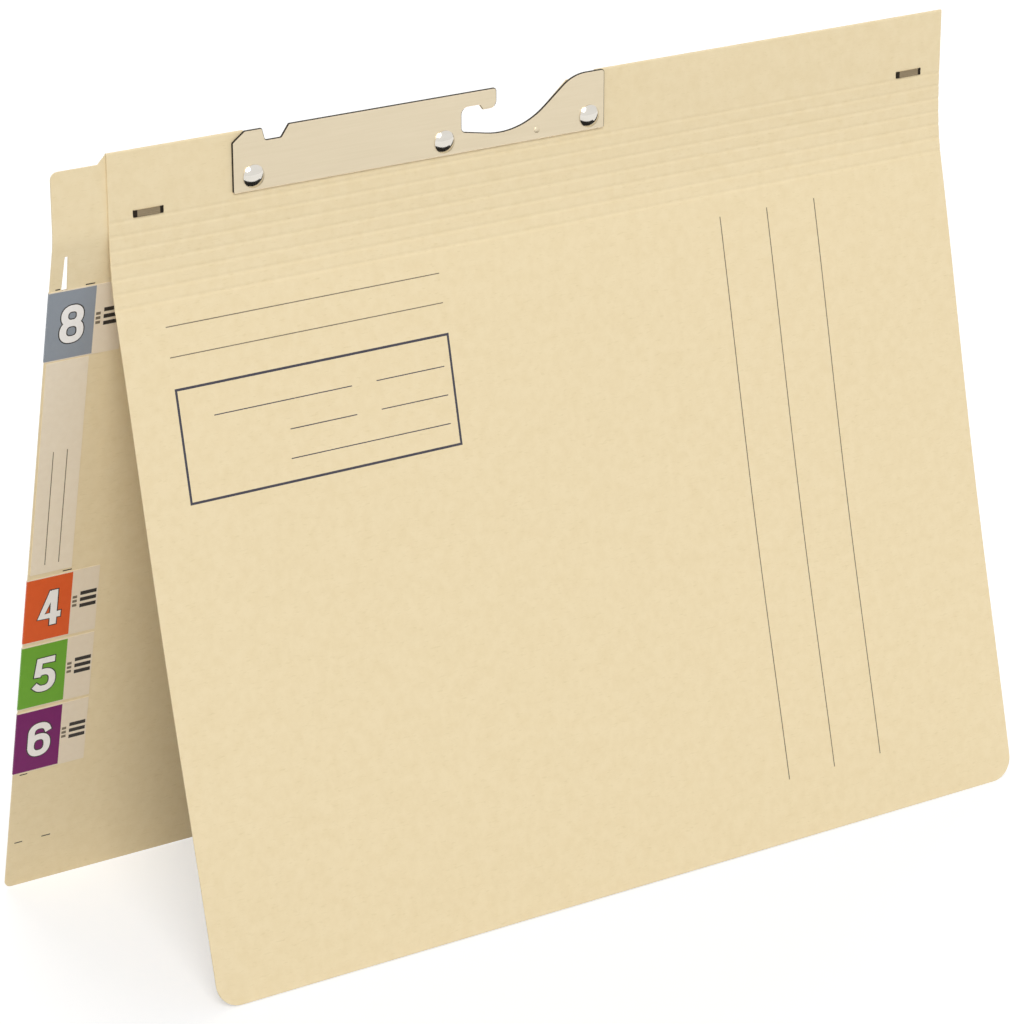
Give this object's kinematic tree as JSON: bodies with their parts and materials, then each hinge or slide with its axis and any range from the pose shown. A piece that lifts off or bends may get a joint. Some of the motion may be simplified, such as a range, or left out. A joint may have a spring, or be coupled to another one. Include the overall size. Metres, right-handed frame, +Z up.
{
  "type": "hanging file folder",
  "caption": "Manila suspension folder standing open like a tent: scored card covers, riveted steel rail-hook plate, index tab with number labels, prong fastener inside.",
  "frame": {"origin": "middle of the base, on the plane that the lower edges of both covers stand on", "axes": "+X along the width, to the right seen from the front; -Y out of the front cover; +Z up to the fold"},
  "size_m": [0.3366, 0.1142, 0.2644],
  "materials": {
    "manila_card": "matt",
    "hanger_steel": "satin plated",
    "rivet_nickel": "bright plated",
    "staple_wire": "drawn wire",
    "label_grey": "satin print",
    "label_orange": "satin print",
    "label_green": "satin print",
    "label_purple": "satin print",
    "label_white": "uncoated",
    "backing_card": "matt",
    "tinplate": "bright rolled"
  },
  "bodies": {
    "header": {"folded_header": "manila_card", "hanger_plate": "hanger_steel", "rivet_left": "rivet_nickel", "rivet_middle": "rivet_nickel", "rivet_right": "rivet_nickel", "staple_left": "staple_wire", "staple_right": "staple_wire"},
    "strip_1": {"front_strip_1": "manila_card"},
    "strip_2": {"front_strip_2": "manila_card"},
    "strip_3": {"front_strip_3": "manila_card"},
    "strip_4": {"front_strip_4": "manila_card"},
    "strip_5": {"front_strip_5": "manila_card"},
    "strip_6": {"front_strip_6": "manila_card"},
    "front_cover": {"front_flap": "manila_card"},
    "rear_cover": {"rear_flap": "manila_card", "number_label_1": "label_grey", "number_label_2": "label_orange", "number_label_3": "label_green", "number_label_4": "label_purple", "name_label": "label_white", "backing_strip": "backing_card", "prong_strip": "tinplate", "compressor_bar": "tinplate"},
    "slide_left": {"lock_slide_left": "tinplate"},
    "slide_right": {"lock_slide_right": "tinplate"}
  },
  "joints": [
    {"name": "front_score_1", "type": "hinge", "parent": "header", "child": "strip_1", "pos_m": [0.00931, -0.00112, 0.24236], "axis": [-1, 0, 0], "range_deg": [-0.5, 25.21]},
    {"name": "front_score_2", "type": "hinge", "parent": "strip_1", "child": "strip_2", "pos_m": [0.00931, -0.00116, 0.23786], "axis": [-1, 0, 0], "range_deg": [-1, 24.71]},
    {"name": "front_score_3", "type": "hinge", "parent": "strip_2", "child": "strip_3", "pos_m": [0.00931, -0.00128, 0.23337], "axis": [-1, 0, 0], "range_deg": [-1.5, 24.21]},
    {"name": "front_score_4", "type": "hinge", "parent": "strip_3", "child": "strip_4", "pos_m": [0.00931, -0.00152, 0.22887], "axis": [-1, 0, 0], "range_deg": [-2, 23.71]},
    {"name": "front_score_5", "type": "hinge", "parent": "strip_4", "child": "strip_5", "pos_m": [0.00931, -0.00191, 0.22439], "axis": [-1, 0, 0], "range_deg": [-2.5, 23.21]},
    {"name": "front_score_6", "type": "hinge", "parent": "strip_5", "child": "strip_6", "pos_m": [0.00931, -0.0025, 0.21993], "axis": [-1, 0, 0], "range_deg": [-3, 22.71]},
    {"name": "front_score_7", "type": "hinge", "parent": "strip_6", "child": "front_cover", "pos_m": [0.00931, -0.00332, 0.2155], "axis": [-1, 0, 0], "range_deg": [-3.5, 22.21]},
    {"name": "rear_score", "type": "hinge", "parent": "header", "child": "rear_cover", "pos_m": [0.00931, -0.00012, 0.23936], "axis": [1, 0, 0], "range_deg": [-7.93, 146.57]},
    {"name": "slide_left_travel", "type": "slide", "parent": "rear_cover", "child": "slide_left", "axis": [1, 0, 0], "range_m": [-0.0202, 0.009]},
    {"name": "slide_right_travel", "type": "slide", "parent": "rear_cover", "child": "slide_right", "axis": [-1, 0, 0], "range_m": [-0.0202, 0.009]}
  ]
}
